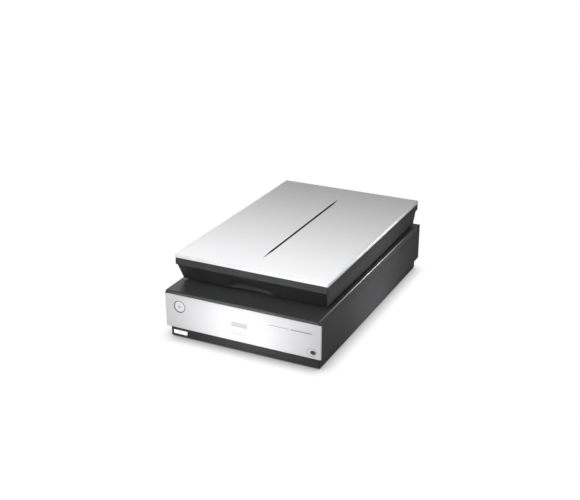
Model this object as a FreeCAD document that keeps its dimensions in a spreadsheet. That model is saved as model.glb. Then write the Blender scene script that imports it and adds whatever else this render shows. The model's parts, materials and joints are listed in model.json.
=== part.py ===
"""Flatbed photo scanner with a lit lid for film, as an assembly of separate pieces.

Millimetres. The origin is at the centre of the footprint, on the desk: X runs to the right as seen from
the front, Y to the hinged back edge and Z up. At rest the lid is shut and the scanning carriage is parked
at the back, under the hinges.
"""

import FreeCAD, Part

import math
import os
import re

import Sketcher

Vector = FreeCAD.Vector

DIMENSIONS = {
    # how far a fused block reaches into its neighbour, and how far a cutter or a block trimmed later
    # runs past the solid
    "bite": 0.1, "overlap": 1, "past": 1,
    # gaps: between shells that fit together, then from close to roomy
    "seam": 0.1, "slip": 0.2, "loose": 0.4, "margin": 0.5,
    # base housing
    "case_width": 308, "case_depth": 503, "deck_height": 96.5, "deck_thickness": 3, "wall": 2.5,
    "bevel_width": 3.5, "bevel_height": 7.5, "case_bottom": 22, "flange_height": 2,
    "bevel_wall": 1, "end_plate": 1.6, "case_edge_radius": 0.5,
    "skirt_bottom": 2.5, "skirt_side_inset": 5, "skirt_end_inset": 8, "tub_top": 30,
    "skirt_corner_radius": 2,
    "screw_column_across": 138, "screw_column_along": 100, "screw_column_radius": 4.5,
    "screw_column_top": 22, "screw_radius": 1.5, "screw_bite": 8, "screw_head_radius": 3,
    "screw_head_recess": 2, "drive_width": 1, "drive_length": 4, "drive_depth": 1,
    "foot_radius": 9, "foot_across": 128, "foot_along": 222,
    # front panel, its strip and its buttons
    "panel_bottom": 24, "panel_top": 89, "panel_thickness": 3, "panel_edge_radius": 1.6,
    "panel_long_radius": 0.5, "ledge_thickness": 0.9,
    "strip_half_width": 150.3, "strip_top": 94.3, "strip_recess": 0.5, "strip_gap": 1.4,
    "start_across": -124.5, "start_up": 66.7, "start_ring_radius": 12, "start_cap_radius": 10.1,
    "start_ring_bore": 10.4, "start_proud": 0, "start_cap_depth": 5, "start_stem_radius": 3,
    "start_stem_depth": 0.9, "start_sunk": 0.3, "start_edge_radius": 0.8, "start_hole_gap": 1,
    "power_left": -143.4, "power_right": -115.6, "power_low": 7.1, "power_high": 14.3,
    "power_proud": 0.8, "power_depth": 4.8, "power_edge_radius": 0.5, "button_gap": 0.3,
    "board_thickness": 1.6, "switch_width": 6, "switch_depth": 3.6,
    "start_board_depth": 11.5, "start_board_width": 41, "start_board_height": 34,
    "stud_across": 18.5, "stud_up": 14, "stud_radius": 2.5,
    "power_board_gap": 2.7, "power_board_width": 32, "power_board_top": 20,
    "power_switch_depth": 2, "power_switch_height": 5,
    # document glass and its frame
    "view_width": 216, "view_length": 297, "view_centre": -12, "glass_thickness": 3, "glass_top": 95,
    "glass_margin": 10, "bezel_margin": 17, "bezel_rebate": 1.5, "bezel_proud": 0.3, "fit_gap": 0.25,
    "calibration_width": 8, "calibration_thickness": 0.6, "view_border": 1, "bezel_chamfer": 0.9,
    # carriage and the rod that it runs on
    "carriage_half_width": 114, "carriage_front": 95, "carriage_rear": 185, "carriage_bottom": 22,
    "carriage_top": 86, "slit_middle": 140, "slit_width": 12, "arm_length": 14, "arm_top": 37,
    "arm_inset": 3, "arm_wall": 2,
    "rod_across": -124, "rod_up": 30, "rod_radius": 4, "rod_front": -226, "rod_rear": 196,
    "bushing_radius": 6, "running_gap": 0.05, "clamp_width": 14, "clamp_depth": 9.5, "clamp_top": 40,
    "rail_left": 121, "rail_right": 127, "rail_top": 28, "pad_gap": 0.3,
    "rail_front": -205, "rail_rear": 190, "pad_top": 3, "pad_holder_height": 14, "pad_border": 3,
    "pad_length": 16,
    "fin_offset": 2, "fin_thickness": 3, "fin_low": 2, "fin_rise": 3, "fin_reach": 7,
    "clip_front": 19, "clip_length": 16, "clip_cheek": 3.5, "clip_border": 4,
    "lamp_radius": 1.6, "lamp_along": 128, "lamp_up": 80, "lamp_half_length": 106,
    "lens_radius": 9, "lens_up": 36, "mirror_length": 216, "mirror_height": 14, "mirror_thickness": 1.6,
    # belt drive of the carriage
    "pulley_across": -135.5, "pulley_rear": 205, "pulley_front": -222, "pulley_core": 7.6,
    "pulley_flange": 9.5, "flange_thickness": 0.8, "belt_inner": 8, "belt_thickness": 1.2,
    "belt_low": 60, "belt_high": 66, "belt_gap": 0.6, "axle_radius": 1.5,
    "gear_module": 0.5, "gear_teeth": 36, "pinion_teeth": 12, "gear_low": 54, "gear_height": 3.8,
    "pinion_low": 53, "pinion_height": 5.2, "gear_addendum": 0.4, "gear_dedendum": 0.6,
    "gear_backlash": 0.15, "motor_radius": 12.5, "motor_low": 28, "bracket_low": 50,
    "bracket_thickness": 1.6, "motor_shaft_radius": 1, "motor_boss_radius": 4,
    "bracket_leg_radius": 2.5,
    # transport lock
    "lock_along": 150, "lock_low": 38, "lock_high": 42, "lock_travel": 10, "lock_arm_width": 6,
    "lock_tip": -115.5, "lock_cap_width": 12, "lock_cap_height": 12, "lock_recess": 1.8,
    "lock_sunk": 0.2, "lock_gap": 0.3, "patch_along": 6, "patch_up": 7, "patch_depth": 2,
    "thumb_along": 4, "thumb_up": 5, "ridge_depth": 0.5, "ridge_end": 1.5, "ridge_pitch": 3,
    "ridge_width": 1,
    # main board and rear sockets
    "main_board_half_width": 72, "main_board_along": 226, "main_board_top": 78, "socket_up": 45.5,
    "socket_recess": 0.6, "socket_gap": 0.3, "chip_height": 2,
    # lid
    "lid_width": 302, "lid_front": -218, "lid_rear": 242.5, "lid_top": 152, "plate_thickness": 2.5,
    "plate_height": 6, "plate_skirt": 2.5, "plate_bevel": 0.8, "rim_bottom": 132.8, "rim_step": 2.6,
    "cover_bottom": 101.2, "cover_rear": 238.5,
    "cover_side_taper": 5, "cover_front_taper": 12.5, "cover_lip": 5,
    "lid_corner_radius": 1.5, "rim_setback": 0.4, "rim_roof": 2,
    "gland_across": 45, "gland_drop": 12, "gland_length": 5, "gland_floor": 1, "gland_radius": 5.5,
    "gland_eye_radius": 3,
    "groove_front": -164, "groove_rear": 178, "groove_width": 5, "groove_bulge": 13.5,
    "groove_floor": 150.4, "groove_gap": 0.1, "groove_wall": 0.5, "groove_recess": 0.1,
    "scoop_radius": 20, "scoop_half_length": 30, "scoop_along": -219, "scoop_up": 104,
    "window_width": 212, "window_length": 262, "window_ledge": 3, "window_thickness": 2.5,
    "bumper_radius": 6, "bumper_across": 132, "bumper_front": -190, "bumper_rear": 205,
    "bumper_gap": 0.1,
    # hinges
    "hinge_across": 100, "hinge_along": 229, "hinge_up": 118, "knuckle_radius": 8, "post_width": 26,
    "post_depth": 12, "post_bottom": 30, "post_shoulder": 107, "knuckle_width": 20, "pin_radius": 3,
    "guide_wall": 2.7, "guide_gap": 0.3, "guide_floor": 29.7, "notch_half_width": 20, "notch_top": 128.5,
    "notch_front": 219, "ear_thickness": 2, "ear_depth": 16, "ear_gap": 2,
    "ear_drop": 6, "pin_end": 0.6, "spring_wire": 0.6, "spring_radius": 4.4,
    "spring_pitch": 1.5, "spring_length": 4.5,
    # film lamp in the lid
    "film_half_width": 108, "film_front": 95, "film_rear": 135, "film_low": 112, "film_high": 136,
    "film_rod_across": -121, "film_rod_up": 120, "film_rod_radius": 3, "film_rod_front": -165,
    "film_rod_rear": 152, "film_pulley_across": -130, "film_pulley_rear": 160,
    "film_pulley_front": -178, "film_core": 5.6, "film_flange": 7.2, "film_belt_inner": 6,
    "film_belt_thickness": 1, "film_belt_low": 129, "film_belt_high": 133, "film_motor_radius": 10,
    "film_block_length": 8, "film_block_width": 10, "film_wall": 2, "film_cheek": 8, "film_roof": 8,
    "film_arm": 5, "riser_cheek": 2.4, "riser_inset": 14,
    # white document mat
    "mat_half_width": 120, "mat_front": -172, "mat_rear": 148, "mat_low": 97.2, "mat_high": 101,
    "hook_across": 115, "hook_width": 6, "hook_stem": 6, "hook_reach": 8, "hook_low": 104.2,
    "hook_high": 106, "mat_travel": 8,
}

MIRRORS = ((140, 34, 45), (173, 44, 15), (166, 68, -55))  # along Y, up Z, tilt in degrees
SCREW_SIGNS = [(i, j) for i in (-1, 1) for j in (-1, 1)]
SOCKETS = {  # centre across, body width and height, mouth width and height, depth
    "usb_socket": (-25, 12, 11, 8.5, 7.8, 9),
    "bus_socket": (5, 14.5, 9.5, 11.3, 6.2, 9),
    "lid_unit_socket": (45, 44, 12, 36, 7, 8),
}
DC_SOCKET = (-58, 14, 14, 3.2, 9)  # centre across, body width and height, bore radius, depth
MAT_HOOKS_ALONG = (-120, 100)

doc = FreeCAD.newDocument("flatbed_scanner")
sheet = doc.addObject("Spreadsheet::Sheet", "dims")
for row, (alias, number) in enumerate(DIMENSIONS.items(), 1):
    sheet.set(f"A{row}", alias)
    sheet.set(f"B{row}", str(number))
    sheet.setAlias(f"B{row}", alias)
doc.recompute()

WORD = re.compile(r"[a-z]+(?:_[a-z]+)*")
nodes = []
cuts = []


# ---------------------------------------------------------------- shapes bound to the sheet


def formula(text):
    """An expression in which each alias reads its cell."""
    return WORD.sub(lambda m: f"dims.{m[0]}" if m[0] in DIMENSIONS else m[0], str(text))


def size(alias):
    return float(sheet.get(alias))


def bind(item, **formulas):
    for name, text in formulas.items():
        item.setExpression(name.replace("__", "."), formula(text))
    return item


def node(item, label):
    """Registers a finished sub-part under the name of its file."""
    item.Label = label
    nodes.append(item)
    return item


def around(middle, width):
    return f"({middle}) - ({width})/2", f"({middle}) + ({width})/2"


def sided(side, near, far):
    """A span on the right (side 1), or its mirror image on the left (side -1)."""
    return (near, far) if side > 0 else (f"-({far})", f"-({near})")


def both(half):
    return f"-({half})", f"{half}"


def box(across, along, up):
    """A block given by its low and high limits on each axis."""
    made = doc.addObject("Part::Box", "block")
    lengths = {
        name: f"({high}) - ({low})"
        for name, (low, high) in zip(("Length", "Width", "Height"), (across, along, up))
    }
    bind(made, **lengths)
    return bind(
        made, Placement__Base__x=across[0], Placement__Base__y=along[0], Placement__Base__z=up[0]
    )


TURNS = {
    "X": FreeCAD.Rotation(Vector(0, 1, 0), 90),
    "Y": FreeCAD.Rotation(Vector(1, 0, 0), -90),
    "Z": FreeCAD.Rotation(),
}


def cylinder(axis, across, along, up, radius):
    """A cylinder along an axis. The limits on that axis are a span and the other two are its centre."""
    spans = {"X": across, "Y": along, "Z": up}
    low, high = spans[axis]
    made = doc.addObject("Part::Cylinder", "round")
    made.Placement = FreeCAD.Placement(Vector(), TURNS[axis])
    bind(made, Radius=radius, Height=f"({high}) - ({low})")
    x, y, z = (low if name == axis else place for name, place in spans.items())
    return bind(made, Placement__Base__x=x, Placement__Base__y=y, Placement__Base__z=z)


def ball(across, along, up, radius):
    made = doc.addObject("Part::Sphere", "ball")
    bind(made, Radius=radius)
    return bind(made, Placement__Base__x=across, Placement__Base__y=along, Placement__Base__z=up)


def fuse(*items):
    made = doc.addObject("Part::MultiFuse", "joined")
    made.Shapes = list(items)
    made.Refine = True
    return made


def cut(base, *tools):
    made = doc.addObject("Part::Cut", "cut")
    made.Base = base
    made.Tool = tools[0] if len(tools) == 1 else fuse(*tools)
    return made


def common(*items):
    made = doc.addObject("Part::MultiCommon", "shared")
    made.Shapes = list(items)
    return made


def group(*items):
    made = doc.addObject("Part::Compound", "group")
    made.Links = list(items)
    return made


def computed(shape):
    made = doc.addObject("Part::Feature", "computed")
    made.Shape = shape
    return made


# ---------------------------------------------------------------- bodies made from sketches


def rectangle(across, up):
    return [(across[0], up[0]), (across[1], up[0]), (across[1], up[1]), (across[0], up[1])]


def draw_outline(sketch, points):
    """A closed outline whose corners are bound to formulas."""
    first = sketch.GeometryCount
    count = len(points)
    rough = [
        (
            30 * math.cos(2 * math.pi * k / count), 30 * math.sin(2 * math.pi * k / count)
        ) for k in range(count)
    ]
    for k in range(count):
        (u, v), (p, q) = rough[k], rough[(k + 1) % count]
        sketch.addGeometry(Part.LineSegment(Vector(u, v, 0), Vector(p, q, 0)))
    for k in range(count):
        sketch.addConstraint(
            Sketcher.Constraint("Coincident", first + k, 2, first + (k + 1) % count, 1)
        )
    for k, corner in enumerate(points):
        for kind, place, start in zip(("DistanceX", "DistanceY"), corner, rough[k]):
            rule = Sketcher.Constraint(kind, -1, 1, first + k, 1, start)
            sketch.setExpression(f"Constraints[{sketch.addConstraint(rule)}]", formula(place))


def draw_circle(sketch, u, v, radius):
    index = sketch.addGeometry(Part.Circle(Vector(1, 1, 0), Vector(0, 0, 1), 2))
    rules = [
        (Sketcher.Constraint("DistanceX", -1, 1, index, 3, 1), u),
        (Sketcher.Constraint("DistanceY", -1, 1, index, 3, 1), v),
        (Sketcher.Constraint("Radius", index, 2), radius),
    ]
    for rule, text in rules:
        sketch.setExpression(f"Constraints[{sketch.addConstraint(rule)}]", formula(text))


def sketch_on(body, plane, level, outlines):
    """A sketch parallel to one of the body's origin planes, at a level along that plane's axis."""
    sketch = body.newObject("Sketcher::SketchObject", f"{body.Name}_sketch")
    role = f"{plane}_Plane"
    sketch.AttachmentSupport = [(next(f for f in body.Origin.OriginFeatures if f.Role == role), "")]
    sketch.MapMode = "FlatFace"
    offset = f"-({level})" if plane == "XZ" else level
    bind(sketch, AttachmentOffset__Base__z=offset)
    for outline in outlines:
        if outline[0] == "circle":
            draw_circle(sketch, *outline[1:])
        else:
            draw_outline(sketch, outline)
    return sketch


def extrude(body, kind, plane, span, outlines):
    low, high = span
    made = body.newObject(f"PartDesign::{kind}", f"{body.Name}_{kind.lower()}")
    made.Profile = sketch_on(body, plane, high if plane == "XZ" else low, outlines)
    bind(made, Length=f"({high}) - ({low})")
    return made


def pad(body, plane, span, *outlines):
    return extrude(body, "Pad", plane, span, outlines)


def pocket(body, plane, span, *outlines):
    made = extrude(body, "Pocket", plane, span, outlines)
    made.Reversed = True
    cuts.append(made)
    return made


def loft(body, kind, low, high, low_outline, high_outline):
    made = body.newObject(f"PartDesign::{kind}Loft", f"{body.Name}_loft")
    made.Profile = sketch_on(body, "XY", low, [low_outline])
    made.Sections = [sketch_on(body, "XY", high, [high_outline])]
    made.Ruled = True
    if kind == "Subtractive":
        cuts.append(made)
    return made


def soften(body, kind, amount, wanted):
    """A fillet or chamfer on the edges of the body's tip for which wanted is true."""
    doc.recompute()
    base = body.Tip
    edges = [f"Edge{k}" for k, edge in enumerate(base.Shape.Edges, 1) if wanted(edge.BoundBox)]
    made = body.newObject(f"PartDesign::{kind}", f"{body.Name}_{kind.lower()}")
    made.Base = (base, edges)
    return bind(made, **{"Radius" if kind == "Fillet" else "Size": amount})


def new_body(label):
    return node(doc.addObject("PartDesign::Body", label), label)


# ---------------------------------------------------------------- base housing


def case_outline(inset, bottom, top, bevel_foot):
    """The base's cross-section, with a bevel along each long top edge."""
    half, shoulder = f"case_width/2 - {inset}", f"case_width/2 - {inset} - bevel_width"
    right = [(half, bottom), (half, bevel_foot), (shoulder, top)]
    return right + [(f"-({u})", v) for u, v in reversed(right)]


def upper_case():
    body = new_body("upper_case")
    front, rear = "-case_depth/2", "case_depth/2"
    behind_panel = f"{front} + panel_thickness"
    bevel_foot = "deck_height - bevel_height"
    pad(body, "XZ", (behind_panel, rear), case_outline("0", "case_bottom", "deck_height", bevel_foot))
    pad(
        body, "XZ", (front, f"{behind_panel} + overlap"),
        case_outline("0", "panel_top", "deck_height", bevel_foot + " + bite"),
    )
    pad(
        body, "XZ", (f"{rear} - end_plate", rear),
        rectangle(both("case_width/2"), ("case_bottom", "deck_height")),
    )
    pocket(
        body, "XZ", (f"{front} - past", behind_panel),
        rectangle(both("strip_half_width + slip"), ("panel_top - past", "strip_top + strip_gap")),
    )
    hollow = case_outline(
        "wall", "case_bottom - past", "deck_height - deck_thickness", bevel_foot + " - bevel_wall"
    )
    pocket(body, "XZ", (f"{behind_panel} + wall", f"{rear} - wall"), hollow)
    inside = both("case_width/2 - wall"), (f"{behind_panel} + wall", f"{rear} - wall")
    skirt = both("case_width/2 - skirt_side_inset + seam"), both("case_depth/2 - skirt_end_inset + seam")
    wide = [(f"({low}) - bite", f"({high}) + bite") for low, high in inside]
    pad(body, "XY", ("case_bottom", "case_bottom + flange_height"), rectangle(*wide), rectangle(*skirt))
    pocket(body, "XY", ("case_bottom - past", "panel_bottom + past"),
           rectangle(
               both("case_width/2 - wall"), (f"{behind_panel} - past", f"{behind_panel} + wall")
           ))
    through = "deck_height - deck_thickness - past", "deck_height + past"
    glass = (
        both("view_width/2 + glass_margin + fit_gap"),
        around("view_centre", "view_length + 2*glass_margin + 2*fit_gap"),
    )
    bezel = (
        both("view_width/2 + bezel_margin + fit_gap"),
        around("view_centre", "view_length + 2*bezel_margin + 2*fit_gap"),
    )
    pocket(body, "XY", through, rectangle(*glass))
    pocket(body, "XY", ("deck_height - bezel_rebate", "deck_height + past"), rectangle(*bezel))
    for side in (-1, 1):
        hole = (
            around(f"{side}*hinge_across", "post_width + 4*guide_gap"),
            around("hinge_along", "post_depth + 4*guide_gap"),
        )
        pocket(body, "XY", through, rectangle(*hole))
    front_wall = f"{front} + panel_thickness - past", f"{front} + panel_thickness + wall + past"
    start_hole = "circle", "start_across", "start_up", "start_ring_radius + start_hole_gap"
    pocket(body, "XZ", front_wall, start_hole)
    rear_wall = "case_depth/2 - wall - past", "case_depth/2 + past"
    blocks = [(s[0], s[1], s[2]) for s in SOCKETS.values()] + [DC_SOCKET[:3]]
    for across, width, height in blocks:
        pocket(
            body, "XZ", rear_wall,
            rectangle(
                around(across, f"{width} + 2*socket_gap"), around("socket_up", f"{height} + 2*socket_gap")
            ),
        )
    for i, j in SCREW_SIGNS:
        place = f"{i}*screw_column_across", f"{j}*screw_column_along"
        pad(
            body, "XY", ("screw_column_top", "deck_height - deck_thickness + overlap"),
            ("circle", *place, "screw_column_radius"),
        )
        pocket(
            body, "XY", ("screw_column_top - past", "screw_column_top + screw_bite + past"),
            ("circle", *place, "screw_radius"),
        )
    lock_recesses(body)
    for across, up in (
        ("start_across - stud_across", "start_up - stud_up"),
        ("start_across + stud_across", "start_up + stud_up"),
    ):
        pad(
            body, "XZ", (f"{front} + panel_thickness + wall - bite", f"{front} + start_board_depth"),
            ("circle", across, up, "stud_radius"),
        )
    soften(body, "Fillet", "case_edge_radius", lambda e: e.YLength > 450 and e.ZLength < 0.01
           and abs(abs(e.XMax) - size("case_width") / 2) < 0.01 and e.ZMax > size("panel_top") - 1)


def lock_recesses(body):
    """The thickened patch of the left wall, its thumb recess and the slot for the lock's arm."""
    wall_inner = "-case_width/2 + wall"
    recess = "-case_width/2 + lock_recess"
    middle = "lock_low/2 + lock_high/2 + lock_travel/2"
    plate = (
        around("lock_along", "lock_cap_width + 2*patch_along"),
        around(middle, "lock_cap_height + lock_travel + 2*patch_up"),
    )
    thumb = (
        around("lock_along", "lock_cap_width + 2*thumb_along"),
        around(middle, "lock_cap_height + lock_travel + 2*thumb_up"),
    )
    slot = (
        around("lock_along", "lock_arm_width + 2*lock_gap"),
        ("lock_low - margin", "lock_high + lock_travel + margin"),
    )
    pad(body, "YZ", (f"{wall_inner} - bite", f"{wall_inner} + patch_depth"), rectangle(*plate))
    pocket(body, "YZ", ("-case_width/2 - past", recess), rectangle(*thumb))
    pocket(body, "YZ", ("-case_width/2 - past", f"{wall_inner} + patch_depth + past"), rectangle(*slot))


def lower_case():
    body = new_body("lower_case")
    half_width, half_depth = "case_width/2 - skirt_side_inset", "case_depth/2 - skirt_end_inset"
    floor = "skirt_bottom + wall"
    pad(body, "XY", ("skirt_bottom", "tub_top"), rectangle(both(half_width), both(half_depth)))
    pocket(
        body, "XY", (floor, "tub_top + past"),
        rectangle(both(f"{half_width} - wall"), both(f"{half_depth} - wall")),
    )
    pad(
        body, "XY", (f"{floor} - bite", "rail_top"),
        rectangle(("rail_left", "rail_right"), ("rail_front", "rail_rear")),
    )
    for i, j in SCREW_SIGNS:
        place = f"{i}*screw_column_across", f"{j}*screw_column_along"
        pad(
            body, "XY", (f"{floor} - bite", "screw_column_top"),
            ("circle", *place, "screw_column_radius"),
        )
        pocket(
            body, "XY", ("skirt_bottom - past", "screw_column_top + past"), ("circle", *place, "screw_radius")
        )
        pocket(
            body, "XY", ("skirt_bottom - past", "skirt_bottom + screw_head_recess"),
            ("circle", *place, "screw_head_radius + slip"),
        )
    slot = (
        ("power_left - button_gap", "power_right + button_gap"),
        ("power_low - button_gap", "power_high + button_gap"),
    )
    pocket(
        body, "XZ",
        ("-case_depth/2 + skirt_end_inset - past", "-case_depth/2 + skirt_end_inset + wall + past"),
        rectangle(*slot),
    )
    corner = size("case_width") / 2 - size("skirt_side_inset")
    soften(
        body, "Fillet", "skirt_corner_radius",
        lambda e: e.ZLength > 20 and abs(abs(e.XMax) - corner) < 0.01,
    )


def case_screws():
    screws = []
    for i, j in SCREW_SIGNS:
        place = f"{i}*screw_column_across", f"{j}*screw_column_along"
        seat = "skirt_bottom + screw_head_recess"
        head = cylinder("Z", *place, ("skirt_bottom + slip", seat), "screw_head_radius")
        shank = cylinder(
            "Z", *place, (f"{seat} - bite", "screw_column_top + screw_bite"), "screw_radius"
        )
        depth = "skirt_bottom - past", "skirt_bottom + drive_depth"
        drive = box(around(place[0], "drive_width"), around(place[1], "drive_length"), depth)
        cross = box(around(place[0], "drive_length"), around(place[1], "drive_width"), depth)
        screws.append(cut(fuse(head, shank), drive, cross))
    node(group(*screws), "case_screws")


def rubber_feet():
    feet = []
    for i, j in SCREW_SIGNS:
        place = f"{i}*foot_across", f"{j}*foot_along"
        feet.append(cylinder("Z", *place, ("0", "skirt_bottom"), "foot_radius"))
    node(group(*feet), "rubber_feet")


# ---------------------------------------------------------------- front panel and buttons


def front_panel():
    body = new_body("front_panel")
    front = "-case_depth/2"
    pad(
        body, "XZ", (front, f"{front} + panel_thickness"),
        rectangle(both("case_width/2"), ("panel_bottom", "panel_top")),
    )
    pad(body, "XZ", (f"{front} + panel_thickness - bite", f"{front} + skirt_end_inset - loose"),
        rectangle(both("case_width/2 - wall - margin"), ("panel_bottom", "panel_bottom + ledge_thickness")))
    pocket(
        body, "XZ", (f"{front} - past", f"{front} + panel_thickness + past"),
        ("circle", "start_across", "start_up", "start_ring_radius"),
    )
    plane = -size("case_depth") / 2
    soften(body, "Fillet", "panel_edge_radius", lambda e: abs(e.YMax - plane) < 0.01 and e.ZLength > 40)
    soften(body, "Fillet", "panel_long_radius", lambda e: abs(e.YMax - plane) < 0.01 and e.XLength > 200)


def front_strip():
    front = "-case_depth/2"
    node(
        box(
            both("strip_half_width"), (f"{front} + strip_recess", f"{front} + panel_thickness"),
            ("panel_top + slip", "strip_top"),
        ),
        "front_strip",
    )


def start_controls():
    """The ring set in the panel and the round button that slides inside it."""
    front = "-case_depth/2"
    ring_face, seat = f"{front} - start_proud", f"{front} + panel_thickness"
    outer = cylinder("Y", "start_across", (ring_face, seat), "start_up", "start_ring_radius")
    bore = cylinder(
        "Y", "start_across", (f"{ring_face} - past", f"{seat} + past"), "start_up", "start_ring_bore"
    )
    node(cut(outer, bore), "start_ring")
    body = new_body("start_button")
    face = f"{ring_face} + start_sunk"
    back = f"{face} + start_cap_depth"
    pad(body, "XZ", (face, back), ("circle", "start_across", "start_up", "start_cap_radius"))
    pad(
        body, "XZ", (f"{back} - bite", f"{back} + start_stem_depth"),
        ("circle", "start_across", "start_up", "start_stem_radius"),
    )
    plane = -size("case_depth") / 2 - size("start_proud") + size("start_sunk")
    soften(body, "Fillet", "start_edge_radius", lambda e: abs(e.YMax - plane) < 0.01 and e.XLength > 10)


def power_button():
    body = new_body("power_button")
    face = "-case_depth/2 + skirt_end_inset - power_proud"
    pad(
        body, "XZ", (face, f"{face} + power_depth"),
        rectangle(("power_left", "power_right"), ("power_low", "power_high")),
    )
    plane = -size("case_depth") / 2 + size("skirt_end_inset") - size("power_proud")
    soften(
        body, "Fillet", "power_edge_radius",
        lambda e: abs(e.YMin - plane) < 0.01 and abs(e.YMax - plane) < 0.01,
    )


def button_boards():
    """The board behind the start button and the board behind the power switch, with switches."""
    upper = "-case_depth/2 + start_board_depth"
    start_board = box(
        around("start_across", "start_board_width"), (upper, f"{upper} + board_thickness"),
        around("start_up", "start_board_height"),
    )
    start_switch = box(
        around("start_across", "switch_width"), (f"{upper} - switch_depth", f"{upper} + bite"),
        around("start_up", "switch_width"),
    )
    lower = "-case_depth/2 + skirt_end_inset + power_depth + power_board_gap"
    middle = "power_left/2 + power_right/2"
    power_board = box(
        around(middle, "power_board_width"), (lower, f"{lower} + board_thickness"),
        ("skirt_bottom + wall", "power_board_top"),
    )
    power_switch = box(
        around(middle, "switch_width"), (f"{lower} - power_switch_depth", f"{lower} + bite"),
        around("power_low/2 + power_high/2", "power_switch_height"),
    )
    node(group(fuse(start_board, start_switch), fuse(power_board, power_switch)), "button_boards")


# ---------------------------------------------------------------- document glass


def document_glass():
    plate = both("view_width/2 + glass_margin"), around("view_centre", "view_length + 2*glass_margin")
    node(box(*plate, ("glass_top - glass_thickness", "glass_top")), "document_glass")
    body = new_body("glass_bezel")
    outer = rectangle(
        both("view_width/2 + bezel_margin"), around("view_centre", "view_length + 2*bezel_margin")
    )
    inner = rectangle(both("view_width/2"), around("view_centre", "view_length"))
    pad(body, "XY", ("glass_top", "deck_height + bezel_proud"), outer, inner)
    top = size("deck_height") + size("bezel_proud")
    reach = size("view_width") / 2 + size("view_border")
    soften(
        body, "Chamfer", "bezel_chamfer",
        lambda e: e.ZMin > top - 0.01 and max(abs(e.XMin), abs(e.XMax)) < reach,
    )
    edge = "view_centre + view_length/2 + view_border"
    under = "glass_top - glass_thickness"
    strip = box(
        both("view_width/2"), (edge, f"{edge} + calibration_width"),
        (f"{under} - calibration_thickness", under),
    )
    node(strip, "calibration_strip")


# ---------------------------------------------------------------- carriage


def carriage_arms():
    front = "carriage_front + arm_inset", "carriage_front + arm_inset + arm_length"
    rear = "carriage_rear - arm_inset - arm_length", "carriage_rear - arm_inset"
    return front, rear


def carriage_housing():
    body = new_body("carriage_housing")
    along = "carriage_front", "carriage_rear"
    pad(body, "XY", ("carriage_bottom", "carriage_top"), rectangle(both("carriage_half_width"), along))
    hollow = both("carriage_half_width - wall"), ("carriage_front + wall", "carriage_rear - wall")
    pocket(body, "XY", ("carriage_bottom + wall", "carriage_top - wall"), rectangle(*hollow))
    slit = both("view_width/2 + view_border"), around("slit_middle", "slit_width")
    pocket(body, "XY", ("carriage_top - wall - past", "carriage_top + past"), rectangle(*slit))
    side = "-carriage_half_width"
    for span in carriage_arms():
        pad(
            body, "XY", ("carriage_bottom", "arm_top"),
            rectangle(("rod_across - bushing_radius - arm_wall", f"{side} + overlap"), span),
        )
        reach = f"({span[0]}) - past", f"({span[1]}) + past"
        pocket(body, "XZ", reach, ("circle", "rod_across", "rod_up", "bushing_radius"))
    pad(
        body, "XY", ("rail_top + pad_top", "rail_top + pad_top + pad_holder_height"),
        rectangle(
            ("carriage_half_width - overlap", "rail_right + pad_border"), around("slit_middle", "pad_length")
        ),
    )
    for sign in (-1, 1):
        fin = around(f"lock_along + {sign}*(lock_arm_width/2 + fin_offset)", "fin_thickness")
        pad(
            body, "XY", ("lock_high + fin_low", "lock_high + lock_travel + fin_rise"),
            rectangle((f"{side} - fin_reach", f"{side} + bite"), fin),
        )


def carriage_running_gear():
    bushings = []
    for span in carriage_arms():
        shell = cylinder("Y", "rod_across", span, "rod_up", "bushing_radius")
        bore = cylinder(
            "Y", "rod_across", (f"({span[0]}) - past", f"({span[1]}) + past"), "rod_up",
            "rod_radius + running_gap",
        )
        bushings.append(cut(shell, bore))
    node(group(*bushings), "rod_bushings")
    pad_block = box(
        ("rail_left - pad_border", "rail_right + pad_border"), around("slit_middle", "pad_length"),
        ("rail_top + pad_gap", "rail_top + pad_top"),
    )
    node(pad_block, "slide_pad")
    run = "pulley_across + belt_inner", "pulley_across + belt_inner + belt_thickness"
    clip_along = "carriage_front + clip_front", "carriage_front + clip_front + clip_length"
    block = box(
        (f"{run[0]} - clip_cheek", "-carriage_half_width"), clip_along,
        ("belt_low - clip_border", "belt_high + clip_border"),
    )
    window = box(
        (f"{run[0]} - loose", f"{run[1]} + loose"), ("carriage_front", "carriage_rear"),
        ("belt_low - loose", "belt_high + loose"),
    )
    node(cut(block, window), "belt_clip")


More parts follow.
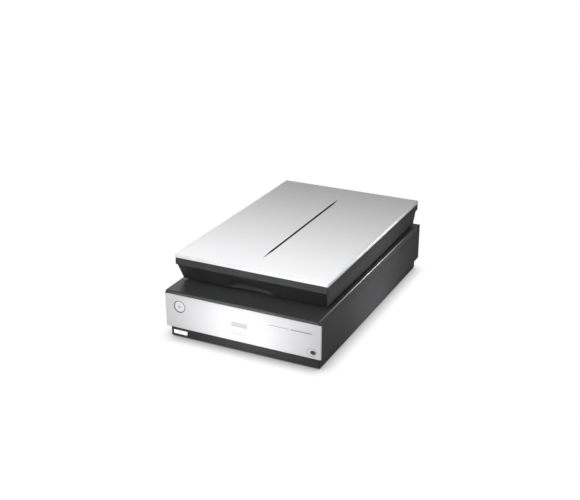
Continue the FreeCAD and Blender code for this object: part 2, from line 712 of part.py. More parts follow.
def carriage_optics():
    """Lamp, reflector, folding mirrors, lens and sensor board inside the carriage."""
    node(cylinder("X", both("lamp_half_length"), "lamp_along", "lamp_up", "lamp_radius"), "scan_lamp")
    trough = box(
        both("lamp_half_length + 2"), ("lamp_along - 6", "lamp_along + 4"),
        ("lamp_up - 3.5", "carriage_top - wall"),
    )
    bowl = cylinder("X", both("lamp_half_length + 3"), "lamp_along", "lamp_up", "lamp_radius + 1.2")
    mouth = box(
        both("lamp_half_length + 3"), ("lamp_along", "lamp_along + 5"),
        ("lamp_up - 2.5", "lamp_up + 2.5"),
    )
    node(cut(trough, bowl, mouth), "lamp_reflector")
    mirrors = []
    for along, up, tilt in MIRRORS:
        thick, tall = size("mirror_thickness"), size("mirror_height")
        plate = doc.addObject("Part::Box", "mirror")
        bind(plate, Length="mirror_length", Width="mirror_thickness", Height="mirror_height")
        centre = Vector(size("mirror_length") / 2, thick / 2, tall / 2)
        turn = FreeCAD.Rotation(Vector(1, 0, 0), tilt)
        plate.Placement = FreeCAD.Placement(Vector(0, along, up) - turn.multVec(centre), turn)
        mirrors.append(plate)
    node(group(*mirrors), "carriage_mirrors")
    barrel = cylinder("Y", "0", ("carriage_front + 8", "carriage_front + 30"), "lens_up", "lens_radius")
    collar = cylinder(
        "Y", "0", ("carriage_front + 14", "carriage_front + 18"), "lens_up", "lens_radius + 1.5"
    )
    bore = cylinder(
        "Y", "0", ("carriage_front + 26", "carriage_front + 31"), "lens_up", "lens_radius - 2"
    )
    node(cut(fuse(barrel, collar), bore), "lens_barrel")
    board_at = "carriage_front + wall + 1.5"
    board = box(
        both("38"), (board_at, f"{board_at} + board_thickness"), ("lens_up - 10", "lens_up + 26")
    )
    chip = box(both("26"), (f"{board_at} + 1", f"{board_at} + 3.5"), around("lens_up", "9"))
    node(fuse(board, chip), "sensor_board")


def guide_rod():
    floor = "skirt_bottom + wall"
    node(cylinder("Y", "rod_across", ("rod_front", "rod_rear"), "rod_up", "rod_radius"), "guide_rod")
    clamps = []
    for span in (("rod_front", "rod_front + clamp_depth"), ("rod_rear - clamp_depth", "rod_rear")):
        block = box(around("rod_across", "clamp_width"), span, (floor, "clamp_top"))
        bore = cylinder(
            "Y", "rod_across", (f"({span[0]}) - past", f"({span[1]}) + past"), "rod_up", "rod_radius"
        )
        clamps.append(cut(block, bore))
    node(group(*clamps), "rod_clamps")


# ---------------------------------------------------------------- belt drive


def gear_shape(module, teeth, turn, height):
    """A spur gear about Z with involute flanks and slightly thinned teeth."""
    pitch = module * teeth / 2
    base = pitch * math.cos(math.radians(20))
    root, tip = pitch - size("gear_dedendum"), pitch + size("gear_addendum")
    half_tooth = (math.pi * module / 2 - size("gear_backlash")) / (2 * pitch)

    def roll(radius):
        angle = math.acos(min(1, base / max(radius, base)))
        return math.tan(angle) - angle

    start = max(base, root)
    radii = [start + (tip - start) * k / 3 for k in range(4)]
    flank = [(r, half_tooth + roll(pitch) - roll(r)) for r in radii]
    if root < base:
        flank.insert(0, (root, flank[0][1]))
    points = []
    for tooth in range(teeth):
        middle = turn + 2 * math.pi * tooth / teeth
        sides = [(r, middle - a) for r, a in flank] + [(r, middle + a) for r, a in reversed(flank)]
        points += [Vector(r * math.cos(a), r * math.sin(a), 0) for r, a in sides]
    return Part.Face(Part.makePolygon(points + points[:1])).extrude(Vector(0, 0, height))


def ring_belt(inner, thickness, front, rear, low, high):
    """A flat belt round two pulleys of the same size, centred on X = 0."""

    def stadium(radius):
        ends = [Part.makeCylinder(radius, high - low, Vector(0, y, low)) for y in (front, rear)]
        middle = Part.makeBox(2 * radius, rear - front, high - low, Vector(-radius, front, low))
        return middle.fuse(ends).removeSplitter()

    return stadium(inner + thickness).cut(stadium(inner))


def pulley_shape(core, flange, low, high, bore):
    """A belt pulley about Z, with a flange at each end."""
    rim = size("flange_thickness")
    solid = Part.makeCylinder(core, high - low, Vector(0, 0, low))
    for level in (low - rim, high):
        solid = solid.fuse(Part.makeCylinder(flange, rim, Vector(0, 0, level)))
    return solid.cut(Part.makeCylinder(bore, high - low + 20, Vector(0, 0, low - 10)))


def pinion_place():
    """The pinion stands 60 degrees round from the drive gear's rear right."""
    reach = size("gear_module") * (size("gear_teeth") + size("pinion_teeth")) / 2
    angle = math.radians(60)
    return size("pulley_across") + reach * math.cos(angle), size(
        "pulley_rear"
    ) + reach * math.sin(angle)


def scan_drive():
    across, rear = size("pulley_across"), size("pulley_rear")
    low, high = size("belt_low") - size("belt_gap"), size("belt_high") + size("belt_gap")
    bore = size("axle_radius") + size("running_gap")
    gear = gear_shape(size("gear_module"), int(size("gear_teeth")), 0, size("gear_height"))
    gear.translate(Vector(0, 0, size("gear_low")))
    hub = Part.makeCylinder(size("pulley_core"), low - size("gear_low"), Vector(0, 0, size("gear_low")))
    wheel = pulley_shape(size("pulley_core"), size("pulley_flange"), low, high, bore)
    gear = gear.fuse([hub, wheel]).cut(Part.makeCylinder(bore, 40, Vector(0, 0, size("gear_low") - 5)))
    drive = node(computed(gear.removeSplitter()), "drive_gear")
    drive.Placement = FreeCAD.Placement(Vector(across, rear, 0), FreeCAD.Rotation())

    pinion = gear_shape(
        size("gear_module"), int(size("pinion_teeth")), math.radians(15), size("pinion_height")
    )
    pinion.translate(Vector(0, 0, size("pinion_low")))
    shaft_low = size("bracket_low") - 0.8
    shaft = Part.makeCylinder(
        size("motor_shaft_radius"), size("pinion_low") + 1 - shaft_low, Vector(0, 0, shaft_low)
    )
    small = node(computed(pinion.fuse(shaft)), "motor_pinion")
    small.Placement = FreeCAD.Placement(Vector(*pinion_place(), 0), FreeCAD.Rotation())

    idler = node(
        computed(pulley_shape(size("pulley_core"), size("pulley_flange"), low, high, bore)),
        "idler_pulley",
    )
    idler.Placement = FreeCAD.Placement(Vector(across, size("pulley_front"), 0), FreeCAD.Rotation())

    limits = size("pulley_front"), rear, size("belt_low"), size("belt_high")
    belt = node(computed(ring_belt(size("belt_inner"), size("belt_thickness"), *limits)), "drive_belt")
    belt.Placement = FreeCAD.Placement(Vector(across, 0, 0), FreeCAD.Rotation())


def motor_and_bracket():
    across, along = (f"{place}" for place in pinion_place())
    top = "bracket_low + bracket_thickness"
    plate = box(
        ("pulley_across - 10.5", "-hinge_across - 17"), ("pulley_rear - 11", "pulley_rear + 24"),
        ("bracket_low", top),
    )
    legs = []
    for x, y in (
        ("pulley_across - 8", "pulley_rear - 8.5"), ("pulley_across + 15.5", "pulley_rear - 6"),
        ("pulley_across - 8", "pulley_rear + 21.5"),
    ):
        legs.append(cylinder("Z", x, y, ("skirt_bottom + wall", "bracket_low + bite"), "bracket_leg_radius"))
    axle = cylinder(
        "Z", "pulley_across", "pulley_rear", ("bracket_low", "belt_high + 2.8"), "axle_radius"
    )
    hole = cylinder("Z", across, along, ("bracket_low - past", f"{top} + past"), "motor_boss_radius + seam")
    node(cut(fuse(plate, axle, *legs), hole), "motor_bracket")
    can = cylinder("Z", across, along, ("motor_low", "bracket_low"), "motor_radius")
    boss = cylinder("Z", across, along, ("bracket_low - bite", f"{top} - slip"), "motor_boss_radius")
    tail = box(
        around(across, "9"), (f"{along} + 10", f"{along} + 15"), ("motor_low + 3", "motor_low + 12")
    )
    bore = cylinder("Z", across, along, ("bracket_low - past", f"{top} + past"), "motor_shaft_radius + slip")
    node(cut(fuse(can, boss, tail), bore), "scan_motor")


def idler_and_spring():
    floor = "skirt_bottom + wall"
    plate_low = "belt_low - 4"
    plate = box(
        ("pulley_across - 8.5", "pulley_across + 8.5"), ("pulley_front - 10", "pulley_front + 10"),
        (plate_low, f"{plate_low} + 1.6"),
    )
    leg = box(
        ("pulley_across - 8.5", "pulley_across - 2.5"), ("pulley_front - 10", "pulley_front"),
        (floor, plate_low),
    )
    axle = cylinder("Z", "pulley_across", "pulley_front", (plate_low, "belt_high + 2.2"), "axle_radius")
    node(fuse(plate, leg, axle), "idler_bracket")
    coil = coil_shape(0.4, 2.4, 1.3, 12)
    spring = node(computed(coil), "tension_spring")
    start = Vector(size("pulley_across") - 5.5, size("pulley_front") - 10.6, 44)
    spring.Placement = FreeCAD.Placement(start, FreeCAD.Rotation(Vector(1, 0, 0), 90))


def coil_shape(wire, radius, pitch, length):
    """A round-wire coil about Z, starting at Z = 0."""
    path = Part.makeHelix(pitch, length, radius)
    profile = Part.Wire(Part.makeCircle(wire, Vector(radius, 0, 0), Vector(0, 1, 0)))
    coil = Part.Wire(path.Edges).makePipeShell([profile], True, True)
    return coil if coil.ShapeType == "Solid" else Part.Solid(coil)


# ---------------------------------------------------------------- lock, board and sockets


def transport_lock():
    cap_face = "-case_width/2 + lock_sunk"
    recess = "-case_width/2 + lock_recess"
    middle = "lock_low/2 + lock_high/2"
    cap = box(
        (cap_face, f"{recess} - slip"), around("lock_along", "lock_cap_width"),
        around(middle, "lock_cap_height"),
    )
    arm = box(
        (f"{recess} - loose", "lock_tip"), around("lock_along", "lock_arm_width"),
        ("lock_low", "lock_high"),
    )
    ridges = []
    for k in (-1, 0, 1):
        ridges.append(
            box(
                (f"{cap_face} - past", f"{cap_face} + ridge_depth"),
                around("lock_along", "lock_cap_width - 2*ridge_end"),
                around(f"{middle} + {k}*ridge_pitch", "ridge_width"),
            ),
        )
    node(cut(fuse(cap, arm), *ridges), "transport_lock")


def main_board():
    rear = "main_board_along + board_thickness"
    board = box(
        both("main_board_half_width"), ("main_board_along", rear),
        ("skirt_bottom + wall", "main_board_top"),
    )
    chips = []
    for across, up, width in ((-30, 60, 20), (12, 62, 26), (48, 62, 14), (-55, 62, 10)):
        chips.append(
            box(
                around(across, width), ("main_board_along - chip_height", "main_board_along + bite"),
                around(up, width * 0.8),
            ),
        )
    node(fuse(board, *chips), "main_board")


def rear_sockets():
    """Square-mouthed sockets and a round DC jack, standing on the board and reaching the rear wall."""
    span = "main_board_along + board_thickness", "case_depth/2 - socket_recess"
    for name, (across, width, height, mouth_width, mouth_height, depth) in SOCKETS.items():
        shell = box(around(across, width), span, around("socket_up", height))
        mouth = box(
            around(across, mouth_width), (f"({span[1]}) - {depth}", f"({span[1]}) + past"),
            around("socket_up", mouth_height),
        )
        node(cut(shell, mouth), name)
    across, width, height, radius, depth = DC_SOCKET
    shell = box(around(across, width), span, around("socket_up", height))
    bore = cylinder(
        "Y", f"{across}", (f"({span[1]}) - {depth}", f"({span[1]}) + past"), "socket_up", f"{radius}"
    )
    node(cut(shell, bore), "dc_socket")


def flat_cable():
    """The ribbon from the main board, folded once under the parked carriage."""
    low, high, thick, fold = 7.0, 18.0, 0.4, 100
    across = around("48", "20")
    lower_run = box(across, (f"{fold}", "main_board_along"), (f"{low}", f"{low + thick}"))
    upper_run = box(across, (f"{fold}", "carriage_rear - 8"), (f"{high}", f"{high + thick}"))
    tab = box(across, ("carriage_rear - 10", "carriage_rear - 8"), (f"{high}", "carriage_bottom"))
    middle, radius = (low + high + thick) / 2, (high + thick - low) / 2
    outer = cylinder("X", across, f"{fold}", f"{middle}", f"{radius}")
    inner = cylinder("X", around("48", "22"), f"{fold}", f"{middle}", f"{radius - thick}")
    behind = box(around("48", "22"), (f"{fold}", f"{fold + 20}"), (f"{low - 1}", f"{high + 2}"))
    node(fuse(lower_run, upper_run, tab, cut(outer, inner, behind)), "flat_cable")


# ---------------------------------------------------------------- hinges


def hinge_guides():
    """The two wells that the hinge posts slide in, standing on the floor under the deck."""
    guides = []
    for side in (-1, 1):
        place = f"{side}*hinge_across"
        hole = (
            around(place, "post_width + 2*guide_gap"),
            around("hinge_along", "post_depth + 2*guide_gap"),
        )
        shell = (
            around(place, "post_width + 2*guide_gap + 2*guide_wall"),
            around("hinge_along", "post_depth + 2*guide_gap + 2*guide_wall"),
        )
        well = box(*hole, ("guide_floor", "deck_height"))
        foot = box(*hole, ("0", "guide_floor - 2"))
        guides.append(
            cut(box(*shell, ("skirt_bottom + wall", "deck_height - deck_thickness")), well, foot)
        )
    node(group(*guides), "hinge_guides")


def knuckle_span(side):
    """Each knuckle fills the outer part of its post's width. The spring takes the inner part."""
    outer = "hinge_across + post_width/2"
    return sided(side, f"{outer} - knuckle_width", outer)


def hinge_post(side, name):
    depth = around("hinge_along", "post_depth")
    column = box(
        sided(side, "hinge_across - post_width/2", "hinge_across + post_width/2"), depth,
        ("post_bottom", "post_shoulder"),
    )
    knuckle_along = knuckle_span(side)
    neck = box(knuckle_along, depth, ("post_shoulder - overlap", "hinge_up"))
    knuckle = cylinder("X", knuckle_along, "hinge_along", "hinge_up", "knuckle_radius")
    bore = cylinder(
        "X", sided(side, "hinge_across - 20", "hinge_across + 20"), "hinge_along", "hinge_up",
        "pin_radius + running_gap",
    )
    node(cut(fuse(column, neck, knuckle), bore), name)


def lid_hinges():
    """The folded steel brackets screwed into the lid, their pins and their coil springs."""
    brackets, pins, springs = [], [], []
    for side in (-1, 1):
        reach = "(post_width/2 + ear_gap)"
        outer = f"hinge_across + {reach}", f"hinge_across + {reach} + ear_thickness"
        inner = f"hinge_across - {reach} - ear_thickness", f"hinge_across - {reach}"
        ear_along, ear_up = around("hinge_along", "ear_depth"), ("hinge_up - ear_drop", "notch_top - bite")
        ears = [box(sided(side, *span), ear_along, ear_up) for span in (outer, inner)]
        plate = box(sided(side, inner[0], outer[1]), ear_along, ("notch_top - ear_thickness", "notch_top"))
        hole = cylinder(
            "X", sided(side, "hinge_across - 25", "hinge_across + 25"), "hinge_along", "hinge_up",
            "pin_radius",
        )
        brackets.append(cut(fuse(plate, *ears), hole))
        pins.append(
            cylinder(
                "X", sided(side, f"{inner[0]} - pin_end", f"{outer[1]} + pin_end"), "hinge_along", "hinge_up",
                "pin_radius",
            ),
        )
        coil = coil_shape(
            size("spring_wire"), size("spring_radius"), size("spring_pitch"), size("spring_length")
        )
        spring = computed(coil)
        start = side * (size("hinge_across") - size("post_width") / 2 - 1) - (
            0 if side > 0 else size("spring_length")
        )
        place = Vector(start, size("hinge_along"), size("hinge_up"))
        spring.Placement = FreeCAD.Placement(place, TURNS["X"])
        springs.append(spring)
    node(group(*brackets), "hinge_brackets")
    node(group(*pins), "hinge_pins")
    node(group(*springs), "hinge_springs")


# ---------------------------------------------------------------- lid


def groove(inset, low, high):
    """A long slot of even width that comes to a point at both ends, where two large circles overlap."""
    front, rear = "groove_front", "groove_rear"
    length = size(rear) - size(front)
    bulge = size("groove_bulge")
    radius = (length * length + bulge * bulge) / 4 / bulge
    middle = f"({front} + {rear})/2"
    rounds = [
        cylinder(
            "Z", f"{sign}*({radius} - groove_bulge/2)", middle, (low, high), f"{radius} - ({inset})"
        ) for sign in (-1, 1)
    ]
    return common(*rounds, box(both(f"groove_width/2 - ({inset})"), (front, rear), (low, high)))


def lid_top_plate():
    body = doc.addObject("PartDesign::Body", "plate_blank")
    pad(
        body, "XY", ("lid_top - plate_height", "lid_top"),
        rectangle(both("lid_width/2"), ("lid_front", "lid_rear")),
    )
    corner = size("lid_width") / 2
    soften(body, "Fillet", "lid_corner_radius", lambda e: e.ZLength > 2 and abs(abs(e.XMax) - corner) < 0.01)
    top = size("lid_top")
    soften(body, "Fillet", "plate_bevel", lambda e: e.ZMin > top - 0.01)
    hollow = both("lid_width/2 - plate_skirt"), ("lid_front + plate_skirt", "lid_rear - plate_skirt")
    pocket(body, "XY", ("lid_top - plate_height - past", "lid_top - plate_thickness"), rectangle(*hollow))
    node(cut(body, groove("0", "lid_top - plate_thickness - past", "lid_top + past")), "lid_top_plate")


def groove_insert():
    """A dark trough that lines the slot in the lid's top plate."""
    trough = groove("groove_gap", "lid_top - plate_thickness", "lid_top - groove_recess")
    channel = groove("groove_gap + groove_wall", "groove_floor", "lid_top")
    node(cut(trough, channel), "groove_insert")


def lid_frame():
    body = new_body("lid_frame")
    top = "lid_top - plate_thickness"
    outer = both("lid_width/2 - rim_setback"), ("lid_front + rim_setback", "lid_rear - rim_setback")
    pad(body, "XY", ("rim_bottom", "lid_top - plate_height"), rectangle(*outer))
    corner = size("lid_width") / 2 - size("rim_setback")
    soften(body, "Fillet", "lid_corner_radius", lambda e: e.ZLength > 2 and abs(abs(e.XMax) - corner) < 0.01)
    step = "(plate_skirt + slip)"
    crown = both(f"lid_width/2 - {step}"), (f"lid_front + {step}", f"lid_rear - {step}")
    pad(body, "XY", ("lid_top - plate_height - bite", top), rectangle(*crown))
    inner = both("lid_width/2 - rim_step"), ("lid_front + rim_step + rim_setback", "cover_rear + seam")
    pocket(body, "XY", ("rim_bottom - past", f"{top} - rim_roof"), rectangle(*inner))


def cover_section(level, inset):
    """The lid's lower cover narrows downwards: level 1 is its top and 0 its bottom."""
    side = f"lid_width/2 - rim_step - seam - cover_side_taper*(1 - {level}) - ({inset})"
    front = f"lid_front + rim_step + rim_setback + seam + cover_front_taper*(1 - {level}) + ({inset})"
    return rectangle(both(side), (front, f"cover_rear - ({inset})"))


def lid_lower_cover():
    blank = doc.addObject("PartDesign::Body", "cover_shell")
    loft(blank, "Additive", "cover_bottom", "rim_bottom", cover_section(0, 0), cover_section(1, 0))
    pad(blank, "XY", ("rim_bottom - bite", "rim_bottom + cover_lip"), cover_section(1, 0))
    hollow = doc.addObject("PartDesign::Body", "cover_hollow")
    loft(
        hollow, "Additive", "cover_bottom + wall", "rim_bottom", cover_section(0, "wall"),
        cover_section(1, "wall"),
    )
    pad(hollow, "XY", ("rim_bottom - bite", "rim_bottom + cover_lip + past"), cover_section(1, "wall"))
    scoop_wall = box(
        both("scoop_half_length + 18"), ("lid_front", "scoop_along + scoop_radius + wall"),
        ("cover_bottom - past", "scoop_up + scoop_radius"),
    )
    notch_walls, notches, slots = [], [], []
    for side in (-1, 1):
        span = sided(side, "hinge_across - notch_half_width", "hinge_across + notch_half_width")
        wide = f"({span[0]}) - wall", f"({span[1]}) + wall"
        notch_walls.append(
            box(
                wide, ("notch_front - wall", "cover_rear + past"), ("cover_bottom - past", "notch_top + wall")
            ),
        )
        notches.append(box(span, ("notch_front", "cover_rear + past"), ("cover_bottom - past", "notch_top")))
        for along in MAT_HOOKS_ALONG:
            slot_along = f"{along} - hook_stem/2 - mat_travel - margin", f"{along} + hook_stem/2 + margin"
            slot_across = around(f"{side}*hook_across", "hook_width + 2*margin")
            slots.append(box(slot_across, slot_along, ("cover_bottom - past", "cover_bottom + wall + past")))
    rod_blocks, rod_bores = film_rod_blocks()
    idler_leg = box(
        around("film_pulley_across", "9"), around("film_pulley_rear", "9"),
        ("cover_bottom + wall - bite", "film_belt_low - 2"),
    )
    idler_axle = cylinder(
        "Z", "film_pulley_across", "film_pulley_rear", ("film_belt_low - 3", "film_belt_high + 2.4"),
        "axle_radius",
    )
    scoop = fuse(
        cylinder("X", both("scoop_half_length"), "scoop_along", "scoop_up", "scoop_radius"),
        ball("-scoop_half_length", "scoop_along", "scoop_up", "scoop_radius"),
        ball("scoop_half_length", "scoop_along", "scoop_up", "scoop_radius"),
    )
    window = box(
        both("window_width/2"), around("view_centre", "window_length"),
        ("cover_bottom - past", "cover_bottom + wall + past"),
    )
    shell = cut(blank, cut(hollow, scoop_wall, *notch_walls))
    node(
        cut(
            fuse(shell, idler_leg, idler_axle, *rod_blocks), scoop, window, *notches, *slots, *rod_bores
        ),
        "lid_lower_cover",
    )


def film_rod_blocks():
    """Two moulded blocks in the lid that hold the ends of the film lamp's rod."""
    blocks, bores = [], []
    for low in ("film_rod_front", "film_rod_rear - film_block_length"):
        blocks.append(
            box(
                around("film_rod_across", "film_block_width"), (low, f"{low} + film_block_length"),
                ("cover_bottom + wall - bite", "film_rod_up + 5"),
            ),
        )
        bores.append(
            cylinder(
                "Y", "film_rod_across", (f"{low} - past", f"{low} + film_block_length + past"),
                "film_rod_up", "film_rod_radius",
            ),
        )
    return blocks, bores


def lid_small_parts():
    floor = "cover_bottom + wall"
    glass = (
        both("window_width/2 + window_ledge"),
        around("view_centre", "window_length + 2*window_ledge"),
    )
    node(box(*glass, (floor, f"{floor} + window_thickness")), "film_window")
    bumpers = []
    for side in (-1, 1):
        for along in ("bumper_front", "bumper_rear"):
            bumpers.append(
                cylinder(
                    "Z", f"{side}*bumper_across", along, ("deck_height + bumper_gap", "cover_bottom"),
                    "bumper_radius",
                ),
            )
    node(group(*bumpers), "lid_bumpers")
    place, tip = "rim_bottom - gland_drop", "cover_rear + gland_length"
    gland = cylinder("Y", "gland_across", ("cover_rear", tip), place, "gland_radius")
    eye = cylinder(
        "Y", "gland_across", ("cover_rear + gland_floor", f"{tip} + past"), place, "gland_eye_radius"
    )
    node(cut(gland, eye), "lid_cable_gland")


# ---------------------------------------------------------------- film lamp and its drive


def film_lamp_carriage():
    shell = box(both("film_half_width"), ("film_front", "film_rear"), ("film_low", "film_high"))
    trough = box(
        both("film_half_width - film_wall"), ("film_front + film_cheek", "film_rear - film_cheek"),
        ("film_low - past", "film_high - film_roof"),
    )
    arm = box(
        ("film_rod_across - film_arm", "-film_half_width + overlap"),
        ("film_front + film_cheek", "film_rear - film_cheek"),
        ("film_rod_up - film_arm", "film_rod_up + film_arm"),
    )
    run = (
        "film_pulley_across + film_belt_inner",
        "film_pulley_across + film_belt_inner + film_belt_thickness",
    )
    riser = box(
        (f"{run[0]} - riser_cheek", "-film_half_width + overlap"),
        ("film_front + riser_inset", "film_rear - riser_inset"),
        ("film_rod_up + film_arm - overlap", "film_high"),
    )
    window = box(
        (f"{run[0]} - loose", f"{run[1]} + loose"), ("film_front", "film_rear"),
        ("film_belt_low - loose", "film_belt_high + loose"),
    )
    bore = cylinder(
        "Y", "film_rod_across", ("film_front", "film_rear"), "film_rod_up",
        "film_rod_radius + running_gap",
    )
    node(cut(fuse(cut(shell, trough), arm, riser), bore, window), "film_lamp_carriage")
    middle = "film_front/2 + film_rear/2"
    node(cylinder("X", both("film_half_width - 6"), middle, "film_low + 6", "2"), "film_lamp")


def film_drive():
    rod = cylinder(
        "Y", "film_rod_across", ("film_rod_front", "film_rod_rear"), "film_rod_up", "film_rod_radius"
    )
    node(rod, "film_guide_rod")
    across = size("film_pulley_across")
    gap = size("loose")
    low, high = size("film_belt_low") - gap, size("film_belt_high") + gap
    for name, along in (
        ("film_drive_pulley", "film_pulley_front"), ("film_idler_pulley", "film_pulley_rear")
    ):
        bore = size("axle_radius") + size("running_gap")
        wheel = node(
            computed(pulley_shape(size("film_core"), size("film_flange"), low, high, bore)), name
        )
        wheel.Placement = FreeCAD.Placement(Vector(across, size(along), 0), FreeCAD.Rotation())
    limits = (
        size("film_pulley_front"),
        size("film_pulley_rear"),
        size("film_belt_low"),
        size("film_belt_high"),
    )
    belt = node(
        computed(ring_belt(size("film_belt_inner"), size("film_belt_thickness"), *limits)), "film_belt"
    )
    belt.Placement = FreeCAD.Placement(Vector(across, 0, 0), FreeCAD.Rotation())
    can = cylinder(
        "Z", "film_pulley_across", "film_pulley_front", ("cover_bottom + wall", "film_belt_low - 3"),
        "film_motor_radius",
    )
    spindle = cylinder(
        "Z", "film_pulley_across", "film_pulley_front", ("film_belt_low - 4", "film_belt_high + 2.4"),
        "axle_radius",
    )
    node(fuse(can, spindle), "film_motor")


def document_mat():
    board = box(both("mat_half_width"), ("mat_front", "mat_rear"), ("mat_low", "mat_high"))
    hooks = []
    for side in (-1, 1):
        across = around(f"{side}*hook_across", "hook_width")
        for along in MAT_HOOKS_ALONG:
            stem = around(along, "hook_stem")
            hooks.append(box(across, stem, ("mat_high - bite", "hook_high")))
            hooks.append(box(across, (stem[0], f"{stem[1]} + hook_reach"), ("hook_low", "hook_high")))
    node(fuse(board, *hooks), "document_mat")


# ---------------------------------------------------------------- build, check and write


def build():
    upper_case()
    lower_case()
    case_screws()
    rubber_feet()
    front_panel()
    front_strip()
    start_controls()
    power_button()
    button_boards()
    document_glass()
    carriage_housing()
    carriage_running_gear()
    carriage_optics()
    guide_rod()
    scan_drive()
    motor_and_bracket()
    idler_and_spring()
    transport_lock()
    main_board()
    rear_sockets()
    flat_cable()
    hinge_guides()
    hinge_post(-1, "hinge_post_left")
    hinge_post(1, "hinge_post_right")
    lid_hinges()
    lid_top_plate()
    groove_insert()
    lid_frame()
    lid_lower_cover()
    lid_small_parts()
    film_lamp_carriage()
    film_drive()
    document_mat()
    doc.recompute()


def check():
    """Stops before anything is written if an object failed, a cut missed or a sub-part is unsound."""
    failed = [item.Label for item in doc.Objects if {"Invalid", "Error"} & set(item.State)]
    missed = [item.Name for item in cuts if item.BaseFeature.Shape.Volume - item.Shape.Volume < 0.1]
    unsound = [
        item.Label for item in nodes
        if item.Shape.isNull() or not item.Shape.isValid() or not item.Shape.Solids
    ]
    if failed or missed or unsound:
        raise SystemExit(f"failed {failed}, cuts that missed {missed}, unsound {unsound}")


def write():
    os.makedirs("parts", exist_ok=True)
    for item in nodes:
        item.Shape.exportStep(f"parts/{item.Label}.step")
    print(len(nodes), "sub-parts")


build()
check()
write()
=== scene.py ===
"""Looks of the flatbed scanner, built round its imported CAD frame.

Everything is in metres in the frame of the CAD: +X to the right, -Y to the front, +Z up.
"""

import json
import math

import bpy
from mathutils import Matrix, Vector


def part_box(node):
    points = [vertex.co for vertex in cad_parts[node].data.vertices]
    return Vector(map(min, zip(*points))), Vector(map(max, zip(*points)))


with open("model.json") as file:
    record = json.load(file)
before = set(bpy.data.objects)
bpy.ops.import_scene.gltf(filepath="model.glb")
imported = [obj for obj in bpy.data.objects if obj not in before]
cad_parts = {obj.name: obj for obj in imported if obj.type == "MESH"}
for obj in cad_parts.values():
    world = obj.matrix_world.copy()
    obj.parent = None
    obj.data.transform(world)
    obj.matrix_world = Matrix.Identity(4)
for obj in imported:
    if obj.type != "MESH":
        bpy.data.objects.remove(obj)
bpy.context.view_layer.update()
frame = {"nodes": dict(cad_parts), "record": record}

MM = 0.001
NODES = frame["nodes"]
SLOT_OF = {part["node"]: part["material_slot"] for part in frame["record"]["subparts"]}

# ---------------------------------------------------------------- camera, floor and light

CAMERA_AZIMUTH, CAMERA_ELEVATION = 25.81, 22.67
CAMERA_DISTANCE, CAMERA_LENS, SENSOR_WIDTH = 2.0312, 62.57, 36
CAMERA_TARGET = Vector((-0.0515, 0.0535, 0.076))
DOME_STRENGTH = 0.045
SHEET_HALF, BACKDROP_HEIGHT = 14.0, 9.0
SHADOW_REACH, SHADOW_DARKEST = 32 * MM, 0.05
BOUNCE_DROP, BOUNCE_STRENGTH = 0.3 * MM, 0.04


def direction(azimuth, elevation):
    """The unit vector from the object towards a place at that azimuth and elevation, in degrees."""
    a, e = math.radians(azimuth), math.radians(elevation)
    return Vector((math.sin(a) * math.cos(e), -math.cos(a) * math.cos(e), math.sin(e)))


def add_object(name, data):
    """A new object that holds the data, in the scene's collection."""
    made = bpy.data.objects.new(name, data)
    bpy.context.scene.collection.objects.link(made)
    return made


def make_camera():
    """The camera of the main view, at CAMERA_DISTANCE from CAMERA_TARGET."""
    data = bpy.data.cameras.new("camera")
    data.lens, data.sensor_width = CAMERA_LENS, SENSOR_WIDTH
    data.clip_start, data.clip_end = 0.05, 60
    camera = add_object("camera", data)
    back = direction(CAMERA_AZIMUTH, CAMERA_ELEVATION)
    camera.location = CAMERA_TARGET + back * CAMERA_DISTANCE
    camera.rotation_euler = (-back).to_track_quat("-Z", "Y").to_euler()
    bpy.context.scene.camera = camera


def area_light(name, place, target, width, height, power, spread=180):
    """A rectangular light at place that faces target, not seen by the camera. Spread is in degrees."""
    data = bpy.data.lights.new(name, "AREA")
    data.spread = math.radians(spread)
    data.shape, data.size, data.size_y, data.energy = "RECTANGLE", width, height, power
    light = add_object(name, data)
    light.location = place
    light.rotation_euler = (Vector(target) - Vector(place)).to_track_quat("-Z", "Y").to_euler()
    light.visible_camera = False


def make_lights():
    """Soft boxes round the object, and cards just above the floor that light it from below."""
    area_light("rear_softbox", (-0.2, 0.5, 0.9), (-0.2, -0.6, 0.7), 1.6, 0.7, 4.87)
    area_light("far_softbox", (-0.3, 0.9, 0.9), (-0.2, -0.6, 0.5), 1.6, 0.7, 3.18)
    area_light("overhead", (0.0, 0.1, 1.6), (0.0, 0.1, 0.0), 1.2, 1.2, 2.0)
    area_light("front_softbox", (0.1, -1.4, 1.2), (0.05, -0.25, 0.1), 0.8, 0.5, 9.6)
    area_light("left_strip", (-0.35, -0.85, 0.16), (-0.05, -0.25, 0.06), 0.6, 0.2, 2.5)
    area_light("middle_strip", (0.1, -0.85, 0.16), (0.05, -0.25, 0.06), 0.6, 0.2, 2.4)
    area_light("front_glow", (0.0, -1.0, 0.10), (0.0, -0.25, 0.02), 0.12, 0.08, 0.12, 22)
    area_light("right_strip", (0.85, -0.1, 0.11), (0.15, -0.05, 0.06), 0.5, 0.12, 3.33)
    area_light("right_glow", (0.85, 0.03, 0.10), (0.154, 0.03, 0.03), 0.12, 0.08, 0.41, 30)
    area_light("side_softbox", (1.3, 0.35, 0.62), (0.0, 0.0, 0.15), 0.9, 0.5, 1.6)
    area_light("edge_softbox", (0.61, 1.0, 0.63), (0.15, 0.0, 0.12), 0.5, 0.3, 0.4)
    area_light("edge_strip", (0.80, 1.0, 0.26), (0.15, 0.0, 0.10), 0.5, 0.2, 0.7)
    area_light("front_card", (-0.05, -0.6, 0.01), (-0.05, -0.6, 1.0), 0.3, 0.3, 0.26)
    area_light("left_card", (-0.45, 0.0, 0.01), (-0.45, 0.0, 1.0), 0.4, 0.6, 0.5)
    area_light("back_card", (-0.2, 0.75, 0.01), (-0.2, 0.75, 1.0), 0.4, 0.3, 0.35)


